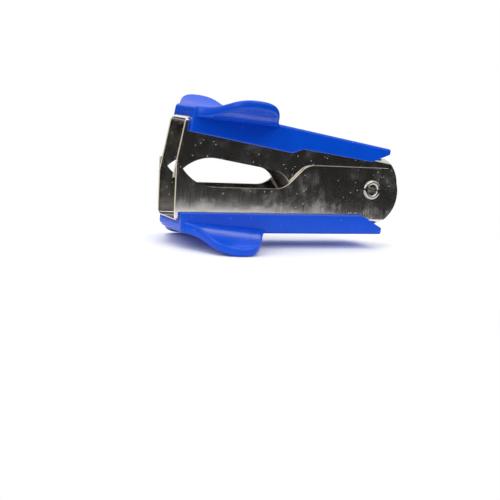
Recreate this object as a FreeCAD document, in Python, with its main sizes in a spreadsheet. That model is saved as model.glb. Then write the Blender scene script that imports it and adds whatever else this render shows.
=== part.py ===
import FreeCAD, Part
import math
import os
import Sketcher

# Jaw-type office staple remover.  Frame: origin at the centre of the pivot axis,
# X runs from the fangs (negative) to the rear (positive), Y is the pivot axis,
# Z is up.  The outer jaw lies level below, the inner jaw is closed and locked above it.
doc = FreeCAD.newDocument("staple_remover")
sheet = doc.addObject("Spreadsheet::Sheet", "Sizes")

SIZES = [
    # sheet steel
    ("sheet", 0.6), ("bend_in", 0.5), ("outer_half", 5.25), ("plate_gap", 0.15),
    ("closed_angle", 8.3),
    # side profile shared by both jaws, h counts from the pivot towards the fang tips
    ("front_x", -49.3), ("tip_lean", 0.35), ("fang_length", 9.15), ("throat_r", 9.9),
    ("rear_r", 7.6), ("rear_cx", -0.4), ("rear_ch", -0.8), ("nose_r", 1.4),
    ("ramp_low_r", 5.5), ("ramp_high_r", 4.5), ("tip_r", 0.25),
    ("outer_web", 8.1), ("outer_tip", 6.2), ("outer_throat", -0.4),
    ("outer_ramp_x", -23.2), ("outer_ear", 5.15),
    ("inner_web", 7.7), ("inner_tip", 6.9), ("inner_throat", 0.0),
    ("inner_ramp_x", -23.6), ("inner_ear", 6.6),
    # pivot
    ("rivet_r", 1.6), ("rivet_wall", 0.4), ("rivet_lip", 0.65), ("rivet_head_t", 0.45),
    ("turn_gap", 0.05), ("head_round", 0.18),
    # lock
    ("lock_shut_x", -5.7), ("lock_shut_z", -2.4), ("lock_free_x", -11.1), ("lock_free_z", 0.8),
    ("stem_r", 1.5), ("slot_gap", 0.1), ("window_gap", 0.15), ("hook_lap", 1.65),
    ("hook_drop", 0.7), ("knob_rim", 1.5), ("knob_t", 2.0), ("slide_gap", 0.1), ("knob_round", 0.5),
    ("washer_rim", 1.0), ("washer_t", 0.6), ("neck_step", 0.5), ("peen_rim", 0.35), ("peen_t", 0.35),
    # spring
    ("wire_r", 0.4), ("coil_gap", 0.6), ("turn_space", 0.2), ("coil_turns", 4), ("spring_y", -0.5),
    ("leg_x", -17), ("leg_gap", 0.03),
    # plastic grips, o counts from the pivot outwards to the finger faces
    ("flange_t", 1.25), ("grip_setback", 1.0), ("grip_front_cut", 0.9), ("boss_rim", 1.15),
    ("boss_root", 0.3), ("peg_r", 1.45), ("peg_gap", 0.05), ("peg_back", 8.3),
    ("peg_spacing", 15.0), ("peg_short", 0.05),
    ("lower_seat", 0.25), ("lower_base", 2.05), ("lower_skirt", 2.35),
    ("lower_tail_x", 2.9), ("lower_tail_cut_x", -2.5), ("lower_tail_t", 1.5),
    ("upper_seat", 0.75), ("upper_base", 1.75), ("upper_skirt", 3.9),
    ("upper_step_x", -22.9), ("upper_step_run", 2.6), ("upper_step", 1.35),
    ("upper_tail_low_x", -1.75), ("upper_tail_low", 0.5), ("upper_tail_x", 2.7),
    ("upper_tail_t", 1.2),
    # wings, x counts back from the grips' front
    ("wing_half", 17.0), ("wing_rise", 4.3), ("wing_t", 1.9), ("wing_root_t", 1.8),
    ("wing_flat_y", 4.6), ("wing_top_r", 23.1), ("wing_under_r", 26.0),
    ("wing_neck_back", 3.1), ("wing_neck_y", 8.4), ("wing_front_back", 4.9),
    ("wing_rear_back", 13.3), ("wing_root_back", 20.3), ("wing_neck_round", 2.5),
    ("wing_front_round", 4.2), ("wing_rear_round", 3.2), ("wing_bury", 0.4), ("wing_run_on", 0.5),
]
V = {}
for row, (alias, value) in enumerate(SIZES, start=1):
    sheet.set("A%d" % row, alias)
    sheet.set("B%d" % row, str(value))
    sheet.setAlias("B%d" % row, alias)
    V[alias] = value
doc.recompute()

REACH = 60.0    # cutters that go right through reach this far
PAST = 1.0      # other cutters reach past the solid by this
SAME = 2e-3     # coordinates closer than this are the same edge


class Formula:
    """A size written with sheet names: its number now, and its text for the sheet binding."""

    def __init__(self, number, text):
        self.number = number
        self.text = text

    def __add__(self, other):
        other = fm(other)
        return Formula(self.number + other.number, "(%s + %s)" % (self.text, other.text))

    def __radd__(self, other):
        return fm(other) + self

    def __sub__(self, other):
        other = fm(other)
        return Formula(self.number - other.number, "(%s - %s)" % (self.text, other.text))

    def __rsub__(self, other):
        return fm(other) - self

    def __mul__(self, other):
        other = fm(other)
        return Formula(self.number * other.number, "(%s * %s)" % (self.text, other.text))

    def __rmul__(self, other):
        return self * other

    def __truediv__(self, other):
        other = fm(other)
        return Formula(self.number / other.number, "(%s / %s)" % (self.text, other.text))

    def __neg__(self):
        return Formula(-self.number, "(-1 * %s)" % self.text)


def fm(value):
    """Turns a plain number into a Formula."""
    if isinstance(value, Formula):
        return value
    return Formula(float(value), "(%r)" % float(value))


def s(alias):
    """Named size from the sheet."""
    return Formula(float(V[alias]), "Sizes.%s" % alias)


def root(value):
    return Formula(math.sqrt(value.number), "sqrt(%s)" % value.text)


def cosd(value):
    return Formula(math.cos(math.radians(value.number)), "cos(%s * 1 deg)" % value.text)


def sind(value):
    return Formula(math.sin(math.radians(value.number)), "sin(%s * 1 deg)" % value.text)


def plane(body, role):
    """Origin plane of a body, found by its role."""
    for feature in body.Origin.OriginFeatures:
        if feature.Role == role:
            return feature
    raise RuntimeError("no plane " + role)


def new_body(name):
    body = doc.addObject("PartDesign::Body", name)
    body.Label = name
    return body


def new_sketch(body, name, role):
    sketch = body.newObject("Sketcher::SketchObject", name)
    sketch.AttachmentSupport = (plane(body, role), [""])
    sketch.MapMode = "FlatFace"
    return sketch


def pin_point(sketch, geo, pos, x, y):
    """Holds one point of the sketch at a bound distance from the origin."""
    for kind, value in (("DistanceX", x), ("DistanceY", y)):
        value = fm(value)
        index = sketch.addConstraint(Sketcher.Constraint(kind, -1, 1, geo, pos, value.number))
        sketch.setExpression("Constraints[%d]" % index, value.text)


def loop(sketch, points, arcs=None):
    """Closed outline through bound points; arcs maps a side number to (radius, bulge sign),
    or for a half circle to (radius, bulge sign, centre)."""
    arcs = arcs or {}
    points = [(fm(x), fm(y)) for x, y in points]
    first = None
    previous = None
    count = len(points)
    for i in range(count):
        ax, ay = points[i][0].number, points[i][1].number
        bx, by = points[(i + 1) % count][0].number, points[(i + 1) % count][1].number
        if i in arcs:
            radius, sign = arcs[i][:2]
            radius = fm(radius)
            dx, dy = bx - ax, by - ay
            chord = math.hypot(dx, dy)
            off = math.sqrt(max(radius.number ** 2 - chord ** 2 / 4, 0.0))
            cx = (ax + bx) / 2 - sign * off * dy / chord
            cy = (ay + by) / 2 + sign * off * dx / chord
            start = math.atan2(ay - cy, ax - cx)
            end = math.atan2(by - cy, bx - cx)
            circle = Part.Circle(FreeCAD.Vector(cx, cy, 0), FreeCAD.Vector(0, 0, 1), radius.number)
            if sign > 0:
                while end < start:
                    end += 2 * math.pi
                geo = sketch.addGeometry(Part.ArcOfCircle(circle, start, end), False)
                head, tail = 1, 2
            else:
                while start < end:
                    start += 2 * math.pi
                geo = sketch.addGeometry(Part.ArcOfCircle(circle, end, start), False)
                head, tail = 2, 1
            if len(arcs[i]) == 3:
                flat = abs(dx) > abs(dy)
                middle = fm(arcs[i][2][1 if flat else 0])
                rule = Sketcher.Constraint("DistanceY" if flat else "DistanceX", -1, 1, geo, 3, middle.number)
                index = sketch.addConstraint(rule)
                sketch.setExpression("Constraints[%d]" % index, middle.text)
            else:
                index = sketch.addConstraint(Sketcher.Constraint("Radius", geo, radius.number))
                sketch.setExpression("Constraints[%d]" % index, radius.text)
        else:
            geo = sketch.addGeometry(
                Part.LineSegment(FreeCAD.Vector(ax, ay, 0), FreeCAD.Vector(bx, by, 0)), False)
            head, tail = 1, 2
        pin_point(sketch, geo, head, points[i][0], points[i][1])
        if previous is None:
            first = (geo, head)
        else:
            sketch.addConstraint(Sketcher.Constraint("Coincident", previous[0], previous[1], geo, head))
        previous = (geo, tail)
    sketch.addConstraint(Sketcher.Constraint("Coincident", previous[0], previous[1], first[0], first[1]))


def disc(sketch, x, y, radius):
    """Circle with bound centre and radius."""
    x, y, radius = fm(x), fm(y), fm(radius)
    geo = sketch.addGeometry(
        Part.Circle(FreeCAD.Vector(x.number, y.number, 0), FreeCAD.Vector(0, 0, 1), radius.number), False)
    index = sketch.addConstraint(Sketcher.Constraint("Radius", geo, radius.number))
    sketch.setExpression("Constraints[%d]" % index, radius.text)
    pin_point(sketch, geo, 3, x, y)


def pad(body, name, sketch, length, both=False, back=False):
    feature = body.newObject("PartDesign::Pad", name)
    feature.Profile = sketch
    length = fm(length)
    feature.Length = length.number
    feature.setExpression("Length", length.text)
    feature.Midplane = both
    feature.Reversed = back
    doc.recompute()
    return feature


def pocket(body, name, sketch, length, both=False, back=False):
    """Cut of a bound depth; the volume must drop."""
    before = body.Shape.Volume
    feature = body.newObject("PartDesign::Pocket", name)
    feature.Profile = sketch
    length = fm(length)
    feature.Length = length.number
    feature.setExpression("Length", length.text)
    feature.Midplane = both
    feature.Reversed = back
    doc.recompute()
    if not body.Shape.Volume < before - 1e-4:
        raise RuntimeError(name + " removed nothing")
    return feature


def rounding(body, name, radius, choose):
    """Fillet on the edges of the body that choose() picks."""
    base = body.Tip
    names = ["Edge%d" % (i + 1) for i, edge in enumerate(base.Shape.Edges) if choose(edge)]
    if not names:
        raise RuntimeError(name + " found no edge")
    feature = body.newObject("PartDesign::Fillet", name)
    feature.Base = (base, names)
    feature.Radius = radius.number
    feature.setExpression("Radius", radius.text)
    doc.recompute()
    if "Invalid" in feature.State or not feature.Shape.isValid():
        raise RuntimeError(name + " failed")
    return feature


def along(axis, **place):
    """Chooser: straight edges parallel to an axis whose middle lies at the given coordinates."""
    def choose(edge):
        if not isinstance(edge.Curve, Part.Line):
            return False
        direction = edge.Curve.Direction
        if abs(abs(getattr(direction, axis)) - 1) > 1e-6:
            return False
        middle = edge.CenterOfMass
        return all(abs(getattr(middle, key) - value) < SAME for key, value in place.items())
    return choose


# ---------------------------------------------------------------- the two steel jaws
def make_jaw(name, side, half, which):
    """U-section jaw stamped from sheet; side is +1 with the fangs up, -1 with the fangs down."""
    body = new_body(name)
    web, tip, throat = s(which + "_web"), s(which + "_tip"), s(which + "_throat")
    ramp, ear = s(which + "_ramp_x"), s(which + "_ear")
    throat_end = tip_x + s("fang_length")
    ear_end = s("rear_cx") + root(s("rear_r") * s("rear_r") - (ear - s("rear_ch")) * (ear - s("rear_ch")))
    drop = web + s("rear_ch")
    web_end = s("rear_cx") + root(s("rear_r") * s("rear_r") - drop * drop)
    points = [
        (s("front_x"), -web), (tip_x, tip), (throat_end, throat), (ramp, throat),
        (ramp + (ear - throat), ear), (ear_end, ear), (web_end, -web),
    ]
    flank = new_sketch(body, name + "_flank", "XZ_Plane")
    loop(flank, [(x, side * h) for x, h in points], {1: (s("throat_r"), side), 5: (s("rear_r"), -side)})
    pad(body, name + "_block", flank, 2 * half, both=True)
    rounding(body, name + "_nose", s("nose_r"), along("y", x=V["front_x"], z=-side * web.number))
    rounding(body, name + "_ramp_low", s("ramp_low_r"), along("y", x=ramp.number, z=side * throat.number))
    rounding(body, name + "_ramp_high", s("ramp_high_r"),
             along("y", x=ramp.number + ear.number - throat.number, z=side * ear.number))
    rounding(body, name + "_tip", s("tip_r"), along("y", x=tip_x.number, z=side * tip.number))

    room = new_sketch(body, name + "_room", "YZ_Plane")
    wall = half - s("sheet")
    floor = side * (s("sheet") - web)
    bend = s("bend_in")
    loop(room, [
        (bend - wall, floor), (wall - bend, floor), (wall, floor + side * bend),
        (wall, side * REACH), (-wall, side * REACH), (-wall, floor + side * bend),
    ], {1: (bend, side), 5: (bend, side)})
    pocket(body, name + "_channel", room, 4 * REACH, both=True)
    bend = s("bend_in") + s("sheet")
    for hand, tag in ((1, "far"), (-1, "near")):
        waste = new_sketch(body, name + "_bend_" + tag + "_outline", "YZ_Plane")
        loop(waste, [
            (hand * (half - bend), -side * web), (hand * (half - bend), -side * (web + PAST)),
            (hand * (half + PAST), -side * (web + PAST)), (hand * (half + PAST), -side * (web - bend)),
            (hand * half, -side * (web - bend)),
        ], {4: (bend, -hand * side)})
        pocket(body, name + "_bend_" + tag, waste, 4 * REACH, both=True)

    bore = new_sketch(body, name + "_bore", "XZ_Plane")
    disc(bore, 0, 0, s("rivet_r") + s("turn_gap"))
    pocket(body, name + "_pivot_hole", bore, 4 * half, both=True)

    pegs = new_sketch(body, name + "_pegs", "XY_Plane")
    disc(pegs, peg_front, 0, s("peg_r") + s("peg_gap"))
    disc(pegs, peg_rear, 0, s("peg_r") + s("peg_gap"))
    pocket(body, name + "_peg_holes", pegs, 2 * web, both=True)
    return body


tip_x = s("front_x") - s("tip_lean")
grip_front = s("front_x") + s("grip_setback")
peg_front = grip_front + s("peg_back")
peg_rear = peg_front + s("peg_spacing")
outer_half = s("outer_half")
inner_half = outer_half - s("sheet") - s("plate_gap")
outer_jaw = make_jaw("outer_jaw", 1, outer_half, "outer")
inner_jaw = make_jaw("inner_jaw", -1, inner_half, "inner")

# Slanted slot for the lock stem in the far side plate of the outer jaw.
run = s("lock_free_x") - s("lock_shut_x")
climb = s("lock_free_z") - s("lock_shut_z")
travel = root(run * run + climb * climb)
slot_r = s("stem_r") + s("slot_gap")
nx = -climb / travel * slot_r
nz = run / travel * slot_r
slot = new_sketch(outer_jaw, "outer_jaw_slot", "XZ_Plane")
loop(slot, [
    (s("lock_shut_x") + nx, s("lock_shut_z") + nz), (s("lock_free_x") + nx, s("lock_free_z") + nz),
    (s("lock_free_x") - nx, s("lock_free_z") - nz), (s("lock_shut_x") - nx, s("lock_shut_z") - nz),
], {1: (slot_r, -1, (s("lock_free_x"), s("lock_free_z"))),
    3: (slot_r, -1, (s("lock_shut_x"), s("lock_shut_z")))})
pocket(outer_jaw, "outer_jaw_lock_slot", slot, 2 * outer_half)


# Window for the same stem in the far side plate of the inner jaw, drawn level with that jaw.
def levelled(x, z):
    """A point given in the closed pose, turned back into the inner jaw's own level frame."""
    tilt = s("closed_angle")
    return x * cosd(tilt) - z * sind(tilt), x * sind(tilt) + z * cosd(tilt)


shut_x, shut_z = levelled(s("lock_shut_x"), s("lock_shut_z"))
free_x, free_z = levelled(s("lock_free_x"), s("lock_free_z"))
win_r = s("stem_r") + s("window_gap")
up_x = (free_z - shut_z) / travel * win_r
up_z = -1 * (free_x - shut_x) / travel * win_r
free_reach = root(free_x * free_x + free_z * free_z)
front_r = free_reach + win_r
below = s("inner_ear") + PAST
front_x = -1 * root(front_r * front_r - below * below)
side_k = front_r / free_reach
hook_x = shut_x - win_r - s("hook_lap")
window = new_sketch(inner_jaw, "inner_jaw_window_outline", "XZ_Plane")
loop(window, [
    (shut_x + up_x, shut_z + up_z),
    (free_x + up_x, free_z + up_z),
    (free_x * side_k, free_z * side_k),
    (front_x, -below),
    (hook_x, -below),
    (hook_x, shut_z - win_r - s("hook_drop")),
    (shut_x - win_r, shut_z - win_r),
    (shut_x, shut_z - win_r),
], {1: (win_r, 1), 2: (front_r, 1), 7: (win_r, 1)})
pocket(inner_jaw, "inner_jaw_lock_window", window, 2 * outer_half)
inner_jaw.Placement = FreeCAD.Placement(
    FreeCAD.Vector(0, 0, 0), FreeCAD.Rotation(FreeCAD.Vector(0, 1, 0), V["closed_angle"]))
inner_jaw.setExpression("Placement.Rotation.Angle", "Sizes.closed_angle * 1 deg")


# ---------------------------------------------------------------- hollow pivot rivet
pivot_rivet = new_body("pivot_rivet")
tube = new_sketch(pivot_rivet, "pivot_rivet_section", "XY_Plane")
rivet_end = outer_half + s("rivet_head_t")
rivet_hole = s("rivet_r") - s("rivet_wall")
rivet_head = s("rivet_r") + s("rivet_lip")
loop(tube, [
    (rivet_hole, -rivet_end), (rivet_head, -rivet_end),
    (rivet_head, -outer_half), (s("rivet_r"), -outer_half),
    (s("rivet_r"), outer_half), (rivet_head, outer_half),
    (rivet_head, rivet_end), (rivet_hole, rivet_end),
])
turned = pivot_rivet.newObject("PartDesign::Revolution", "pivot_rivet_body")
turned.Profile = tube
turned.ReferenceAxis = (tube, ["V_Axis"])
turned.Angle = 360
doc.recompute()


def ring_edges(radius, ys):
    """Chooser: circles about the Y axis with this radius, at one of the given heights."""
    def choose(edge):
        curve = edge.Curve
        return (isinstance(curve, Part.Circle) and abs(curve.Radius - radius) < SAME
                and any(abs(edge.CenterOfMass.y - y) < SAME for y in ys))
    return choose


rounding(pivot_rivet, "pivot_rivet_rolled", s("head_round"),
         ring_edges(rivet_head.number, (-rivet_end.number, rivet_end.number)))
rounding(pivot_rivet, "pivot_rivet_mouth", s("head_round"),
         ring_edges(rivet_hole.number, (-rivet_end.number, rivet_end.number)))


# ---------------------------------------------------------------- lock button and its washer
def turned_on_stem(name, points):
    """Body turned about the lock stem's axis, which stands at the locked end of the slot."""
    body = new_body(name)
    section = new_sketch(body, name + "_section", "XY_Plane")
    loop(section, points)
    feature = body.newObject("PartDesign::Revolution", name + "_turned")
    feature.Profile = section
    feature.ReferenceAxis = (section, ["V_Axis"])
    feature.Angle = 360
    body.Placement = FreeCAD.Placement(
        FreeCAD.Vector(V["lock_shut_x"], 0, V["lock_shut_z"]), FreeCAD.Rotation())
    body.setExpression("Placement.Base.x", "Sizes.lock_shut_x * 1 mm")
    body.setExpression("Placement.Base.z", "Sizes.lock_shut_z * 1 mm")
    doc.recompute()
    return body


knob = s("stem_r") + s("knob_rim")
neck = s("stem_r") - s("neck_step")
peen = neck + s("peen_rim")
washer = s("stem_r") + s("washer_rim")
knob_in = outer_half + s("slide_gap")
washer_out = inner_half - s("sheet") - s("slide_gap")
washer_in = washer_out - s("washer_t")
lock_button = turned_on_stem("lock_button", [
    (0, knob_in + s("knob_t")), (knob, knob_in + s("knob_t")), (knob, knob_in),
    (s("stem_r"), knob_in), (s("stem_r"), washer_out), (neck, washer_out),
    (neck, washer_in), (peen, washer_in), (peen, washer_in - s("peen_t")),
    (0, washer_in - s("peen_t")),
])
rounding(lock_button, "lock_button_rim", s("knob_round"),
         ring_edges(knob.number, ((knob_in + s("knob_t")).number,)))
lock_washer = turned_on_stem("lock_washer", [
    (neck, washer_in), (washer, washer_in), (washer, washer_out),
    (neck, washer_out),
])


# ---------------------------------------------------------------- torsion spring
def tangent_angle(x, z, radius, below_axis):
    """Angle, about the pivot, at which a straight wire from (x, z) touches the coil."""
    reach = math.hypot(x, z)
    bearing = math.atan2(z, x)
    swing = math.acos(radius / reach)
    return bearing + swing if below_axis else bearing - swing


coil_r = s("rivet_r") + s("coil_gap") + s("wire_r")
pitch = 2 * s("wire_r") + s("turn_space")
leg_end_x = V["leg_x"]
inset = V["sheet"] + V["wire_r"] + V["leg_gap"]
low_x, low_z = leg_end_x, inset - V["outer_web"]
tilt = math.radians(V["closed_angle"])
own_z = V["inner_web"] - inset
high_x = leg_end_x * math.cos(tilt) + own_z * math.sin(tilt)
high_z = -leg_end_x * math.sin(tilt) + own_z * math.cos(tilt)
start = tangent_angle(low_x, low_z, coil_r.number, True)
finish = tangent_angle(high_x, high_z, coil_r.number, False)
sweep = (finish - start) % (2 * math.pi) + 2 * math.pi * V["coil_turns"]
coil_height = pitch.number * sweep / (2 * math.pi)
y_low = V["spring_y"] - coil_height / 2
y_high = V["spring_y"] + coil_height / 2

turn_start = FreeCAD.Rotation(FreeCAD.Vector(0, 1, 0), -math.degrees(start))
lay_down = FreeCAD.Rotation(FreeCAD.Vector(1, 0, 0), -90)
helix = doc.addObject("Part::Helix", "spring_line")
helix.setExpression("Pitch", pitch.text + " * 1 mm")
helix.setExpression("Radius", coil_r.text + " * 1 mm")
helix.Height = coil_height
helix.LocalCoord = "Left-handed"
helix.Placement = FreeCAD.Placement(FreeCAD.Vector(0, y_low, 0), turn_start.multiply(lay_down))
wire = doc.addObject("Part::Circle", "spring_wire")
wire.setExpression("Radius", "Sizes.wire_r * 1 mm")
start_point = FreeCAD.Vector(coil_r.number * math.cos(start), y_low, coil_r.number * math.sin(start))
heading = FreeCAD.Vector(-math.sin(start) * coil_r.number,
                         pitch.number / (2 * math.pi), math.cos(start) * coil_r.number)
wire.Placement = FreeCAD.Placement(start_point, FreeCAD.Rotation(FreeCAD.Vector(0, 0, 1), heading))
doc.recompute()
coil = doc.addObject("Part::Sweep", "spring_coil")
coil.Sections = [wire]
coil.Spine = (helix, ["Edge1"])
coil.Solid = True
coil.Frenet = True
end_point = FreeCAD.Vector(coil_r.number * math.cos(finish), y_high, coil_r.number * math.sin(finish))
slope = pitch.number / (2 * math.pi * coil_r.number)
legs = []
for label, corner, foot_x, foot_z, way in (
        ("lower", start_point, low_x, low_z, -1), ("upper", end_point, high_x, high_z, 1)):
    flat = math.hypot(foot_x - corner.x, foot_z - corner.z)
    foot = FreeCAD.Vector(foot_x, corner.y + way * slope * flat, foot_z)
    leg = doc.addObject("Part::Cylinder", "spring_leg_" + label)
    leg.setExpression("Radius", "Sizes.wire_r * 1 mm")
    leg.Height = (foot - corner).Length
    leg.Placement = FreeCAD.Placement(corner, FreeCAD.Rotation(FreeCAD.Vector(0, 0, 1), foot - corner))
    legs.append(leg)
torsion_spring = doc.addObject("Part::MultiFuse", "torsion_spring")
torsion_spring.Shapes = [coil] + legs
torsion_spring.Label = "torsion_spring"
doc.recompute()
apart = sum(part.Shape.Volume for part in [coil] + legs)
if torsion_spring.Shape.Volume < apart * (1 - SAME):
    raise RuntimeError("the spring lost a leg")


# ---------------------------------------------------------------- plastic grips
def upright_at(x, y):
    """Chooser: upright edges at x, on both sides at the distance y from the middle plane."""
    upright = along("z")

    def choose(edge):
        middle = edge.CenterOfMass
        return upright(edge) and abs(middle.x - x) < SAME and abs(abs(middle.y) - y) < SAME
    return choose


def make_grip(name, side, half, web, floor, face, outline):
    """Moulded grip over a jaw's web; side is +1 below (outwards is down), -1 above."""
    body = new_body(name)
    out = -side
    flange = half + s("flange_t")
    flank = new_sketch(body, name + "_flank", "XZ_Plane")
    loop(flank, [(x, out * o) for x, o in outline])
    pad(body, name + "_block", flank, 2 * flange, both=True)

    for hand, tag in ((1, "far"), (-1, "near")):
        band = new_sketch(body, name + "_wing_" + tag + "_section", "YZ_Plane")
        points = [
            (hand * s("wing_flat_y"), out * face),
            (hand * (s("wing_half") + PAST), out * (face + s("wing_rise"))),
            (hand * (s("wing_half") + PAST), out * (face + s("wing_rise") - s("wing_t"))),
            (hand * (flange - s("wing_bury")), out * (face - s("wing_root_t"))),
            (hand * s("wing_flat_y"), out * (face - s("wing_root_t"))),
        ]
        bulge = hand * out
        loop(band, points, {0: (s("wing_top_r"), bulge), 2: (s("wing_under_r"), -bulge)})
        band.AttachmentOffset = FreeCAD.Placement(
            FreeCAD.Vector(0, 0, grip_front.number), FreeCAD.Rotation())
        band.setExpression("AttachmentOffset.Base.z", grip_front.text + " * 1 mm")
        pad(body, name + "_wing_" + tag, band, s("wing_root_back") + s("wing_run_on"))

    for hand, tag in ((1, "far"), (-1, "near")):
        rim = new_sketch(body, name + "_rim_" + tag + "_outline", "XY_Plane")
        front, rear, beyond = grip_front - PAST, wing_root + PAST, s("wing_half") + 3 * PAST
        corners = [
            (front, flange), (grip_front, flange), (wing_neck, s("wing_neck_y")),
            (wing_front, s("wing_half")), (wing_rear, s("wing_half")), (wing_root, flange),
            (rear, flange), (rear, beyond), (front, beyond),
        ]
        loop(rim, [(x, hand * y) for x, y in corners])
        pocket(body, name + "_rim_" + tag, rim, 2 * REACH, both=True)
    rounding(body, name + "_wing_front", s("wing_front_round"),
             upright_at(wing_front.number, V["wing_half"]))
    rounding(body, name + "_wing_rear", s("wing_rear_round"),
             upright_at(wing_rear.number, V["wing_half"]))
    rounding(body, name + "_wing_neck", s("wing_neck_round"),
             upright_at(wing_neck.number, V["wing_neck_y"]))

    room = new_sketch(body, name + "_room", "YZ_Plane")
    loop(room, [(-half, -out * REACH), (half, -out * REACH), (half, out * floor), (-half, out * floor)])
    pocket(body, name + "_channel", room, 4 * REACH, both=True)
    for x, tag in ((peg_front, "front"), (peg_rear, "rear")):
        for radius, bottom, part in (
                (s("peg_r") + s("boss_rim"), web, "boss"),
                (s("peg_r"), web - s("sheet") + s("peg_short"), "peg")):
            label = "%s_%s_%s" % (name, tag, part)
            mark = new_sketch(body, label + "_circle", "XY_Plane")
            disc(mark, x, 0, radius)
            mark.AttachmentOffset = FreeCAD.Placement(
                FreeCAD.Vector(0, 0, out * bottom.number), FreeCAD.Rotation())
            mark.setExpression("AttachmentOffset.Base.z", "(%s) * 1 mm" % (out * bottom).text)
            pad(body, label, mark, floor - bottom + s("boss_root"), back=out < 0)
    return body


wing_neck = grip_front + s("wing_neck_back")
wing_front = grip_front + s("wing_front_back")
wing_rear = grip_front + s("wing_rear_back")
wing_root = grip_front + s("wing_root_back")

lower_floor = s("outer_web") + s("lower_seat")
lower_face = lower_floor + s("lower_base")
lower_edge = lower_floor - s("lower_skirt")
lower_outline = [
    (grip_front, lower_edge), (s("lower_tail_cut_x"), lower_edge),
    (s("lower_tail_x"), lower_face - s("lower_tail_t")), (s("lower_tail_x"), lower_face),
    (grip_front + s("grip_front_cut"), lower_face),
    (grip_front, lower_face - s("grip_front_cut")),
]
lower_grip = make_grip("lower_grip", 1, outer_half, s("outer_web"), lower_floor, lower_face,
                       lower_outline)

upper_floor = s("inner_web") + s("upper_seat")
upper_face = upper_floor + s("upper_base")
upper_edge = upper_floor - s("upper_skirt")
upper_step = upper_edge + s("upper_step")
upper_outline = [
    (grip_front, upper_edge), (s("upper_step_x"), upper_edge),
    (s("upper_step_x") + s("upper_step_run"), upper_step),
    (s("upper_tail_low_x"), upper_step + s("upper_tail_low")),
    (s("upper_tail_x"), upper_face - s("upper_tail_t")), (s("upper_tail_x"), upper_face),
    (grip_front + s("grip_front_cut") / 2, upper_face),
    (grip_front, upper_face - s("grip_front_cut") / 2),
]
upper_grip = make_grip("upper_grip", -1, inner_half, s("inner_web"), upper_floor, upper_face,
                       upper_outline)
upper_grip.Placement = FreeCAD.Placement(
    FreeCAD.Vector(0, 0, 0), FreeCAD.Rotation(FreeCAD.Vector(0, 1, 0), V["closed_angle"]))
upper_grip.setExpression("Placement.Rotation.Angle", "Sizes.closed_angle * 1 deg")
doc.recompute()

# ---------------------------------------------------------------- checks and export
for item in doc.Objects:
    if "Invalid" in item.State or "Error" in item.State:
        raise RuntimeError("bad object " + item.Name)
NODES = [outer_jaw, inner_jaw, pivot_rivet, lock_button, lock_washer, torsion_spring,
         lower_grip, upper_grip]
os.makedirs("parts", exist_ok=True)
for node in NODES:
    shape = node.Shape
    if shape.isNull() or not shape.isValid() or len(shape.Solids) != 1:
        raise RuntimeError("bad shape " + node.Label)
    shape.exportStep("parts/%s.step" % node.Label)
    box = shape.BoundBox
    print("%-15s %9.2f mm3  X %.1f..%.1f  Y %.1f..%.1f  Z %.1f..%.1f" % (
        node.Label, shape.Volume, box.XMin, box.XMax, box.YMin, box.YMax, box.ZMin, box.ZMax))
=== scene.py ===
"""Looks of a jaw-type staple remover: blue moulded grips, nickel-plated jaws, hollow rivet,
torsion spring and sliding lock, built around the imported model.  Lengths in the sizes below are
in millimetres, and the pivot's centre is the origin."""

import math

import bmesh
import bpy
import numpy as np
from bpy.props import FloatProperty, FloatVectorProperty, PointerProperty
from mathutils import Matrix, Vector


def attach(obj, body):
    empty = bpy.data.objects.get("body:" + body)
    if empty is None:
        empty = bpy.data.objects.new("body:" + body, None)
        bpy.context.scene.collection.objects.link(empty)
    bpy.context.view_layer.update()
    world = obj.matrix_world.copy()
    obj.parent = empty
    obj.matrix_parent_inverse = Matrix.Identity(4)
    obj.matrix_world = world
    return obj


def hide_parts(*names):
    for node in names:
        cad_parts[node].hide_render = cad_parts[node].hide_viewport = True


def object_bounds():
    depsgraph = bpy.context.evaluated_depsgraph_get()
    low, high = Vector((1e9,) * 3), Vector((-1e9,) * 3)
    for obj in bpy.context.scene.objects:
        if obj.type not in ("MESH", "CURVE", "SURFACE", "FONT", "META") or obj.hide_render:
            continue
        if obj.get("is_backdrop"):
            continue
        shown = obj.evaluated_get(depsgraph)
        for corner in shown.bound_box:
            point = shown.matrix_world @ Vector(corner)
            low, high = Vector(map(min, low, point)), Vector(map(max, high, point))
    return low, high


bl_info = {
    "name": "Staple Remover",
    "version": (1, 0, 0),
    "blender": (4, 5, 0),
    "location": "View3D > Sidebar > Staple Remover",
    "description": "Builds the visible pieces and finishes of a jaw-type staple remover",
    "category": "Object",
}

MM = 0.001
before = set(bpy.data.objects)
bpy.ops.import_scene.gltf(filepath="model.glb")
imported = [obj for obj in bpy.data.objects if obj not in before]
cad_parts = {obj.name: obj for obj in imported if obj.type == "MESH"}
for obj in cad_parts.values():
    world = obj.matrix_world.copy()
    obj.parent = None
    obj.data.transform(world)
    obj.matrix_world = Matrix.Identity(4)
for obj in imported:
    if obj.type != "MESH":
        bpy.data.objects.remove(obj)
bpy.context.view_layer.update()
SHUT_ANGLE = math.radians(8.3)
SECTION_STEPS = 6           # points along each rounded corner of a section
RIM_STEPS = 6               # points along each quarter round of a rim
WIRE_SIDES = 14             # points round a wire
DOME_STEPS = 5              # circles in each domed end of a wire
FLAT = 1e-9                 # shortest length that is still divided by
DOUBLES = 2e-6              # metres within which the points of a new piece are one
MERGE = 1e-6                # metres within which the points of a loose CAD mesh are one
SMOOTH_ANGLE = 34.0         # degrees past which an edge stays sharp


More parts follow.
